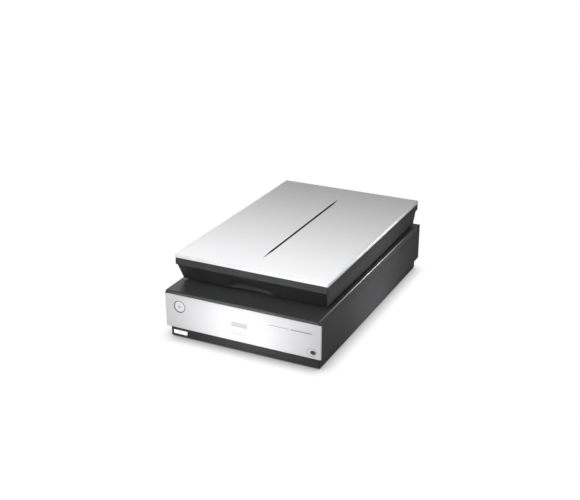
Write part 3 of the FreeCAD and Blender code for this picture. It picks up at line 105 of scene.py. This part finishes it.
def make_world():
    """An even, dim studio dome."""
    world = bpy.data.worlds.new("studio")
    bpy.context.scene.world = world
    world.use_nodes = True
    dome = world.node_tree.nodes["Background"]
    dome.inputs["Color"].default_value = (1, 1, 1, 1)
    dome.inputs["Strength"].default_value = DOME_STRENGTH


def square_sheet(name, material, low, high):
    """A wide square floor at height low or, where high is above low, the four far walls round it."""
    half = SHEET_HALF
    corners = [(-half, -half), (half, -half), (half, half), (-half, half)]
    points = [(x, y, level) for level in (low, high) for x, y in corners]
    walls = [(k, (k + 1) % 4, (k + 1) % 4 + 4, k + 4) for k in range(4)]
    mesh = bpy.data.meshes.new(name)
    if high > low:
        mesh.from_pydata(points, [], walls)
    else:
        mesh.from_pydata(points[:4], [], [(0, 1, 2, 3)])
    mesh.materials.append(material)
    sheet = add_object(name, mesh)
    return sheet


def camera_only(sheet):
    """The sheet is seen, and neither lights anything nor shades it."""
    sheet.visible_diffuse = sheet.visible_glossy = sheet.visible_transmission = False
    sheet.visible_shadow = False


def glowing(name, strength, colour=(0.0, 0.0, 0.0)):
    """A matt material of that colour that also glows white."""
    paint = Paint(name, colour, 1.0)
    paint.set("Specular IOR Level", 0.0)
    paint.set("Emission Color", (1.0, 1.0, 1.0, 1.0))
    paint.set("Emission Strength", strength)
    return paint


def make_floor():
    """A white floor with a contact shadow, clear from below, and a dimmer one that lights the object."""
    seen = glowing("floor_white", 1.0)
    # The contact shadow is painted: ambient occlusion dims the floor's glow near the object.
    shade = seen.add("ShaderNodeAmbientOcclusion", samples=8)
    shade.inputs["Distance"].default_value = SHADOW_REACH
    openness = shade.outputs["AO"]
    seen.set("Emission Strength", seen.spread(openness, 0.0, 0.9, SHADOW_DARKEST, 1.0))
    behind = seen.add("ShaderNodeNewGeometry").outputs["Backfacing"]
    seen.set("Alpha", seen.calc("SUBTRACT", 1.0, behind))
    camera_only(square_sheet("floor", seen.material, 0.0, 0.0))
    backdrop = glowing("backdrop_white", 1.0)
    camera_only(square_sheet("backdrop", backdrop.material, 0.0, BACKDROP_HEIGHT))
    bounce = glowing("floor_bounce", BOUNCE_STRENGTH, (0.3, 0.3, 0.3))
    below = square_sheet("floor_bounce", bounce.material, -BOUNCE_DROP, -BOUNCE_DROP)
    below.visible_camera = False


# ---------------------------------------------------------------- material tools


class Paint:
    """A node material under construction. Its place is the piece's own coordinates, in metres."""

    def __init__(self, name, colour, roughness, metallic=0.0):
        self.material = bpy.data.materials.new(name)
        self.material.use_nodes = True
        self.tree = self.material.node_tree
        self.shader = self.tree.nodes["Principled BSDF"]
        self.colour = (*colour, 1.0)
        self.set("Base Color", self.colour)
        self.set("Roughness", roughness)
        self.set("Metallic", metallic)
        self.place = self.add("ShaderNodeTexCoord").outputs["Object"]
        self.height = None

    def set(self, socket, value):
        """A constant goes on the shader's own socket, and another node's output is linked to it."""
        if isinstance(value, bpy.types.NodeSocket):
            self.tree.links.new(value, self.shader.inputs[socket])
        else:
            self.shader.inputs[socket].default_value = value

    def add(self, kind, *values, **settings):
        """A node of that kind, with its settings and its first inputs."""
        made = self.tree.nodes.new(kind)
        for name, value in settings.items():
            setattr(made, name, value)
        for socket, value in zip(made.inputs, values):
            if isinstance(value, bpy.types.NodeSocket):
                self.tree.links.new(value, socket)
            elif value is not None:
                socket.default_value = value
        return made

    def calc(self, operation, a, b=0.0, clamp=False):
        """The result of one math node."""
        return self.add("ShaderNodeMath", a, b, operation=operation, use_clamp=clamp).outputs[0]

    def vector(self, operation, a, b=(0, 0, 0), output=0):
        """One output of a vector math node."""
        return self.add("ShaderNodeVectorMath", a, b, operation=operation).outputs[output]

    def axis(self, name):
        """One coordinate of the place on the object."""
        return self.add("ShaderNodeSeparateXYZ", self.place).outputs[name]

    def spread(self, value, low, high, new_low, new_high):
        """The value, with low to high mapped to new_low to new_high and held at its ends."""
        return self.add("ShaderNodeMapRange", value, low, high, new_low, new_high).outputs[0]

    def noise(self, size, detail=2.0, stretch=(1, 1, 1)):
        """Noise whose grains are about size metres across, drawn out along an axis by stretch."""
        scale = [1 / (size * s) for s in stretch]
        place = self.vector("MULTIPLY", self.place, scale)
        made = self.add("ShaderNodeTexNoise", place)
        made.inputs["Scale"].default_value = 1.0
        made.inputs["Detail"].default_value = detail
        return made.outputs["Fac"]

    def cells(self, size, feature="F1"):
        """Cells about size metres across, as a distance from each cell's middle."""
        made = self.add("ShaderNodeTexVoronoi", self.place, feature=feature)
        made.inputs["Scale"].default_value = 1 / size
        return made.outputs["Distance"]

    def blend(self, share, first, second):
        """A colour between first and second."""
        made = self.add("ShaderNodeMix", data_type="RGBA")
        factor, colour_a, colour_b = made.inputs[0], made.inputs[6], made.inputs[7]
        for socket, value in ((factor, share), (colour_a, first), (colour_b, second)):
            if isinstance(value, bpy.types.NodeSocket):
                self.tree.links.new(value, socket)
            else:
                socket.default_value = value
        return made.outputs[2]

    def tone(self, factor, low, high):
        """The base colour, from low to high times its own brightness as factor goes from 0.3 to 0.7."""
        shade = self.spread(factor, 0.3, 0.7, low, high)
        start = self.shader.inputs["Base Color"]
        now = start.links[0].from_socket if start.links else self.colour[:3]
        scaled = self.vector("SCALE", now)
        self.tree.links.new(shade, scaled.node.inputs["Scale"])
        self.set("Base Color", scaled)

    def cover(self, mask, colour, roughness=None, metallic=None):
        """Paints another colour over the surface where mask is 1."""
        start = self.shader.inputs["Base Color"]
        now = start.links[0].from_socket if start.links else self.colour
        self.set("Base Color", self.blend(mask, now, (*colour, 1.0)))
        for socket, value in (("Roughness", roughness), ("Metallic", metallic)):
            if value is not None:
                old = self.shader.inputs[socket]
                below = old.links[0].from_socket if old.links else old.default_value
                change = self.add("ShaderNodeMix", mask, None, below, value)
                self.set(socket, change.outputs[0])

    def rough(self, factor, low, high):
        """Roughness that varies over the surface, from low to high."""
        self.set("Roughness", self.spread(factor, 0.3, 0.7, low, high))

    def relief(self, height, depth):
        """Bump of that depth in metres, on top of what is there already."""
        made = self.add("ShaderNodeBump")
        made.inputs["Strength"].default_value = 1.0
        made.inputs["Distance"].default_value = depth
        self.tree.links.new(height, made.inputs["Height"])
        if self.height:
            self.tree.links.new(self.height, made.inputs["Normal"])
        self.height = made.outputs["Normal"]
        self.set("Normal", self.height)

    def plate_mask(self, centre, half, corner, edge=0.12 * MM, plane=(1, 0, 1)):
        """1 inside a rectangle with round corners, seen along the axis that plane leaves out."""
        away = self.vector("MULTIPLY", self.vector("SUBTRACT", self.place, centre), plane)
        inner = [h - corner if p else 1.0 for h, p in zip(half, plane)]
        past = self.vector("SUBTRACT", self.vector("ABSOLUTE", away), inner)
        beyond = self.vector("MAXIMUM", past, (0, 0, 0))
        reach = self.vector("LENGTH", beyond, output="Value")
        return self.spread(reach, corner - edge, corner + edge, 1.0, 0.0)

    def oval_mask(self, centre, half, edge=0.04):
        """1 inside an oval in the XZ plane, with half its width and half its height."""
        scale = (1 / half[0], 0, 1 / half[1])
        away = self.vector("MULTIPLY", self.vector("SUBTRACT", self.place, centre), scale)
        return self.spread(self.vector("LENGTH", away, output="Value"), 1 - edge, 1 + edge, 1.0, 0.0)

    def edges(self, radius):
        """1 along the edges, to about radius from them."""
        rounded = self.add("ShaderNodeBevel", samples=4)
        rounded.inputs["Radius"].default_value = radius
        true = self.add("ShaderNodeNewGeometry").outputs["True Normal"]
        likeness = self.vector("DOT_PRODUCT", rounded.outputs["Normal"], true, output="Value")
        return self.spread(likeness, 0.86, 0.99, 1.0, 0.0)

    def beyond(self, axis, limit, edge=0.1 * MM, above=True):
        """1 where the coordinate is past the limit."""
        ends = (0.0, 1.0) if above else (1.0, 0.0)
        return self.spread(self.axis(axis), limit - edge, limit + edge, *ends)


# ---------------------------------------------------------------- materials


def moulded(name, colour, roughness, grain=0.55 * MM, depth=0.035 * MM):
    """Injection-moulded plastic with a spark-eroded grain."""
    paint = Paint(name, colour, roughness)
    fine = paint.noise(grain, 3.0)
    paint.tone(paint.noise(60 * MM, 3.0), 0.93, 1.07)
    paint.rough(fine, roughness - 0.05, roughness + 0.07)
    paint.relief(fine, depth)
    paint.relief(paint.cells(grain * 0.9), depth * 0.5)
    return paint


def silver(name, colour, roughness, metallic):
    """Silver paint with fine flakes and a very slight waviness."""
    paint = Paint(name, colour, roughness, metallic)
    flakes = paint.cells(0.35 * MM)
    paint.tone(flakes, 0.965, 1.03)
    paint.rough(paint.noise(0.5 * MM, 2.0), roughness - 0.03, roughness + 0.05)
    paint.relief(flakes, 0.004 * MM)
    paint.relief(paint.noise(9 * MM, 1.0), 0.006 * MM)
    return paint


def painted_highlight(paint, across, up, radius, middle, even, reach, colour, metallic=None):
    """A pale line painted along both long top edges, in place of the light that their rounding catches.

    It is even beside its middle and has faded out by its reach. It doesn't change with the lighting.
    """
    sides = paint.vector("ABSOLUTE", paint.place)
    to_edge = paint.vector("MULTIPLY", paint.vector("SUBTRACT", sides, (across, 0, up)), (1, 0, 1))
    near = paint.spread(paint.vector("LENGTH", to_edge, output="Value"), radius, 1.3 * radius, 1.0, 0.0)
    away = paint.calc("ABSOLUTE", paint.calc("SUBTRACT", paint.axis("Y"), middle))
    fade = paint.spread(away, even, reach, 1.0, 0.0)
    paint.cover(paint.calc("MULTIPLY", near, fade), colour, metallic=metallic)


def charcoal(name):
    """The dark plastic of the base and the lid."""
    return moulded(name, (0.0095, 0.0097, 0.0105), 0.40)


def case_black():
    """The base's plastic. Its level faces are painted paler as painted top light, its edges paler as a
    painted highlight, and a painted highlight line runs along both long top edges.

    One dark tone left the top of the base too dark under these lights, so its level faces have their own.
    """
    paint = charcoal("case_charcoal")
    normal = paint.add("ShaderNodeNewGeometry").outputs["Normal"]
    up = paint.add("ShaderNodeSeparateXYZ", normal).outputs["Z"]
    # Painted light: the level faces on top of the base are painted paler than its sides.
    level = paint.spread(up, 0.8, 0.98, 0.0, 1.0)
    paint.cover(level, (0.055, 0.056, 0.058))
    # Painted highlight: a paler colour along all the edges.
    paint.cover(paint.edges(0.5 * MM), (0.02, 0.0205, 0.022))
    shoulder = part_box("upper_case")[1] - Vector((3.5, 0, 0.2)) * MM
    painted_highlight(
        paint, shoulder.x, shoulder.z, radius=0.9 * MM, middle=-50 * MM, even=30 * MM,
        reach=240 * MM, colour=(0.40, 0.405, 0.41),
    )
    return paint


def lid_black():
    return charcoal("lid_charcoal")


def panel_silver():
    """The front panel's paint with its printed marks, which are plain bars and an oval."""
    paint = silver("panel_silver", (0.47, 0.47, 0.478), 0.47, 0.3)
    pale, grey, ink = (0.33, 0.333, 0.34), (0.24, 0.243, 0.25), (0.03, 0.03, 0.035)
    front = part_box("front_panel")[0].y
    bars = (
        ((-2.8, 56.7), (15.8, 4.6), 1.6, pale),
        ((-4.7, 39.0), (14.0, 0.7), 0.6, pale),
        ((74.0, 70.3), (19.5, 0.65), 0.6, grey),
        ((117.0, 70.3), (20.0, 1.3), 1.0, grey),
    )
    facing = paint.beyond("Y", front + 0.4 * MM, above=False)
    for (across, up), (half_width, half_height), corner, colour in bars:
        centre = (across * MM, 0, up * MM)
        mask = paint.plate_mask(centre, (half_width * MM, 0, half_height * MM), corner * MM)
        paint.cover(paint.calc("MULTIPLY", mask, facing), colour)
    badge = (137.0 * MM, 0, 35.5 * MM)
    outer = paint.oval_mask(badge, (10.0 * MM, 7.6 * MM))
    inner = paint.oval_mask(badge, (9.2 * MM, 6.8 * MM))
    ring = paint.calc("MULTIPLY", paint.calc("SUBTRACT", outer, inner, clamp=True), facing)
    paint.cover(ring, grey)
    centre = paint.oval_mask((139.4 * MM, 0, 35.5 * MM), (5.4 * MM, 4.0 * MM))
    paint.cover(paint.calc("MULTIPLY", centre, facing), ink)
    return paint


def lid_silver():
    paint = silver("lid_silver", (0.77, 0.77, 0.78), 0.34, 0.75)
    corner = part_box("lid_top_plate")[1] - Vector((0.4, 0, 0.4)) * MM
    painted_highlight(
        paint, corner.x, corner.z, radius=2.4 * MM, middle=-25 * MM, even=95 * MM,
        reach=250 * MM, colour=(0.82, 0.82, 0.825), metallic=0.2,
    )
    return paint


def strip_grey():
    paint = Paint("strip_grey", (0.045, 0.046, 0.05), 0.30)
    paint.set("Coat Weight", 0.2)
    paint.set("Coat Roughness", 0.08)
    paint.tone(paint.noise(30 * MM), 0.95, 1.05)
    paint.rough(paint.noise(2 * MM), 0.27, 0.36)
    low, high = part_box("front_strip")
    middle = (0, 0, (low.z + high.z) / 2)
    inside = paint.plate_mask(middle, (high.x - 1.5 * MM, 0, 1), 0.5 * MM)
    paint.cover(paint.calc("SUBTRACT", 1.0, inside), (0.012, 0.012, 0.013))
    return paint


def ring_dark():
    paint = Paint("ring_dark", (0.12, 0.12, 0.13), 0.3, 0.4)
    paint.rough(paint.noise(0.6 * MM), 0.26, 0.4)
    return paint


def button_white():
    """Satin caps, pale grey above and white on the low power button, each with a small plain sign."""
    paint = Paint("button_white", (0.50, 0.50, 0.51), 0.4)
    paint.tone(paint.noise(4 * MM), 0.98, 1.02)
    paint.relief(paint.noise(0.4 * MM), 0.004 * MM)
    paint.cover(paint.beyond("Z", 20 * MM, above=False), (0.80, 0.80, 0.81))
    low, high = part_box("start_ring")
    middle = (low + high) / 2
    away = paint.vector("ABSOLUTE", paint.vector("SUBTRACT", paint.place, (middle.x, 0, middle.z)))
    reach = paint.vector("DOT_PRODUCT", away, (1, 0, 1), output="Value")
    diamond = paint.spread(reach, 3.2 * MM, 3.5 * MM, 1.0, 0.0)
    paint.cover(diamond, (0.26, 0.27, 0.29))
    low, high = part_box("power_button")
    middle = (low + high) / 2
    bar = paint.plate_mask((middle.x, 0, middle.z), (3.2 * MM, 0, 0.6 * MM), 0.5 * MM)
    paint.cover(bar, (0.26, 0.27, 0.29))
    return paint


def glass_like(name, colour, roughness, ior):
    paint = Paint(name, colour, roughness)
    paint.set("Transmission Weight", 1.0)
    paint.set("IOR", ior)
    return paint


def sheet_glass():
    paint = glass_like("float_glass", (0.93, 0.97, 0.955), 0.01, 1.5)
    paint.rough(paint.noise(45 * MM, 4.0), 0.0, 0.035)
    return paint


def film_window():
    paint = glass_like("window_acrylic", (0.90, 0.91, 0.90), 0.35, 1.49)
    paint.set("Transmission Weight", 0.55)
    paint.rough(paint.noise(1.2 * MM, 2.0), 0.3, 0.42)
    return paint


def bezel_black():
    return moulded("bezel_black", (0.02, 0.02, 0.022), 0.32, 0.4 * MM, 0.015 * MM)


def mat_white():
    paint = moulded("mat_white", (0.80, 0.80, 0.78), 0.6, 0.8 * MM, 0.03 * MM)
    paint.set("Subsurface Weight", 0.08)
    paint.set("Subsurface Scale", 2 * MM)
    return paint


def rubber_black():
    return moulded("rubber_black", (0.02, 0.02, 0.02), 0.72, 0.25 * MM, 0.04 * MM)


def belt_rubber():
    """Black rubber with cross ribs, as on a toothed belt."""
    paint = moulded("belt_rubber", (0.018, 0.018, 0.018), 0.6, 0.2 * MM, 0.03 * MM)
    pitch = 2 * MM
    wave = paint.calc("SINE", paint.calc("MULTIPLY", paint.axis("Y"), 2 * math.pi / pitch))
    paint.relief(wave, 0.12 * MM)
    return paint


def brushed(name, colour, roughness, stretch):
    """Bare metal with fine grinding lines."""
    paint = Paint(name, colour, roughness, 1.0)
    lines = paint.noise(0.25 * MM, 4.0, stretch)
    paint.tone(lines, 0.94, 1.04)
    paint.rough(lines, roughness - 0.06, roughness + 0.1)
    paint.relief(lines, 0.004 * MM)
    return paint


def steel():
    return brushed("ground_steel", (0.60, 0.60, 0.61), 0.24, (1, 30, 1))


def plated_sheet():
    paint = brushed("zinc_plate", (0.62, 0.63, 0.62), 0.34, (12, 12, 1))
    paint.tone(paint.cells(7 * MM), 0.9, 1.06)
    return paint


def motor_case():
    return brushed("motor_case", (0.42, 0.42, 0.43), 0.36, (1, 1, 30))


def moulding_grey():
    return moulded("inner_moulding", (0.045, 0.045, 0.048), 0.5, 0.7 * MM, 0.04 * MM)


def acetal_white():
    paint = moulded("acetal", (0.74, 0.73, 0.68), 0.38, 1.5 * MM, 0.01 * MM)
    paint.set("Subsurface Weight", 0.15)
    paint.set("Subsurface Scale", 1.5 * MM)
    return paint


def brass():
    return brushed("turned_brass", (0.70, 0.53, 0.26), 0.24, (20, 1, 20))


def board_green():
    """Solder mask over copper traces, with bare metal pads. The chips that are fused on share it."""
    paint = Paint("circuit_board", (0.012, 0.10, 0.045), 0.3)
    grid = paint.cells(2.4 * MM)
    traces = paint.spread(grid, 0.28, 0.34, 1.0, 0.0)
    paint.cover(traces, (0.02, 0.17, 0.07))
    pads = paint.spread(paint.cells(4.2 * MM), 0.13, 0.16, 1.0, 0.0)
    paint.cover(pads, (0.62, 0.60, 0.52), roughness=0.3, metallic=1.0)
    paint.relief(grid, 0.02 * MM)
    return paint


def lamp_white():
    """A white tube with a metal cap at each end."""
    paint = Paint("lamp_tube", (0.88, 0.88, 0.86), 0.12)
    paint.set("Transmission Weight", 0.25)
    cap_length, edge = 9 * MM, 0.1 * MM
    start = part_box("scan_lamp")[1].x - cap_length
    reach = paint.calc("ABSOLUTE", paint.axis("X"))
    caps = paint.spread(reach, start - edge, start + edge, 0.0, 1.0)
    paint.cover(caps, (0.55, 0.55, 0.56), roughness=0.3, metallic=1.0)
    paint.tone(paint.noise(12 * MM), 0.97, 1.02)
    return paint


def reflector():
    return brushed("reflector_sheet", (0.86, 0.86, 0.87), 0.18, (30, 1, 1))


def mirror():
    paint = Paint("front_silvered", (0.90, 0.91, 0.92), 0.02, 1.0)
    paint.rough(paint.noise(20 * MM, 3.0), 0.01, 0.05)
    return paint


def strip_white():
    return moulded("calibration_white", (0.86, 0.86, 0.85), 0.75, 0.3 * MM, 0.01 * MM)


def ribbon():
    """A white ribbon with its conductors showing as fine grey lines."""
    paint = Paint("flat_ribbon", (0.70, 0.70, 0.68), 0.4)
    pitch = 1.0 * MM
    wave = paint.calc("SINE", paint.calc("MULTIPLY", paint.axis("X"), 2 * math.pi / pitch))
    paint.cover(paint.spread(wave, 0.0, 0.6, 0.0, 1.0), (0.50, 0.50, 0.50))
    paint.relief(wave, 0.03 * MM)
    paint.rough(paint.noise(3 * MM), 0.34, 0.46)
    return paint


FINISHES = {
    "case_black": case_black, "panel_silver": panel_silver, "strip_grey": strip_grey,
    "ring_dark": ring_dark, "button_white": button_white, "lid_silver": lid_silver,
    "lid_black": lid_black, "sheet_glass": sheet_glass, "film_window": film_window,
    "bezel_black": bezel_black, "mat_white": mat_white, "rubber_black": rubber_black,
    "belt_rubber": belt_rubber, "steel": steel, "plated_sheet": plated_sheet,
    "motor_case": motor_case, "moulding_grey": moulding_grey, "acetal_white": acetal_white,
    "brass": brass, "board_green": board_green, "lamp_white": lamp_white,
    "reflector": reflector, "mirror": mirror, "strip_white": strip_white, "ribbon": ribbon,
}


def finish_nodes():
    """Gives each CAD node the material of its slot."""
    made = {slot: make().material for slot, make in FINISHES.items()}
    for name, node in NODES.items():
        node.data.materials.clear()
        node.data.materials.append(made[SLOT_OF[name]])


# ---------------------------------------------------------------- softened edges

EDGE_RADII = {
    "upper_case": 0.5, "lower_case": 0.5, "front_strip": 0.25, "start_ring": 0.3,
    "glass_bezel": 0.4, "lid_frame": 0.6, "lid_lower_cover": 0.9, "document_mat": 0.8,
    "rubber_feet": 0.6, "lid_bumpers": 0.5, "lid_top_plate": 0.3, "transport_lock": 0.3,
    "power_button": 0.3, "carriage_housing": 0.5, "hinge_guides": 0.4, "hinge_brackets": 0.3,
    "lid_cable_gland": 0.4, "usb_socket": 0.2, "bus_socket": 0.2, "lid_unit_socket": 0.3,
    "dc_socket": 0.3,
}


def soften_edges():
    """Rounds the sharp edges of the visible mouldings. The faces stay where they are."""
    for name, radius in EDGE_RADII.items():
        weld = NODES[name].modifiers.new("weld", "WELD")
        weld.merge_threshold = 0.002 * MM
        bevel = NODES[name].modifiers.new("edges", "BEVEL")
        bevel.width, bevel.segments = radius * MM, 2
        bevel.limit_method, bevel.angle_limit = "ANGLE", math.radians(35)
        bevel.use_clamp_overlap = True
        bevel.harden_normals = True


make_camera()
make_world()
make_lights()
make_floor()
finish_nodes()
soften_edges()

bpy.context.scene.view_settings.view_transform = "Standard"
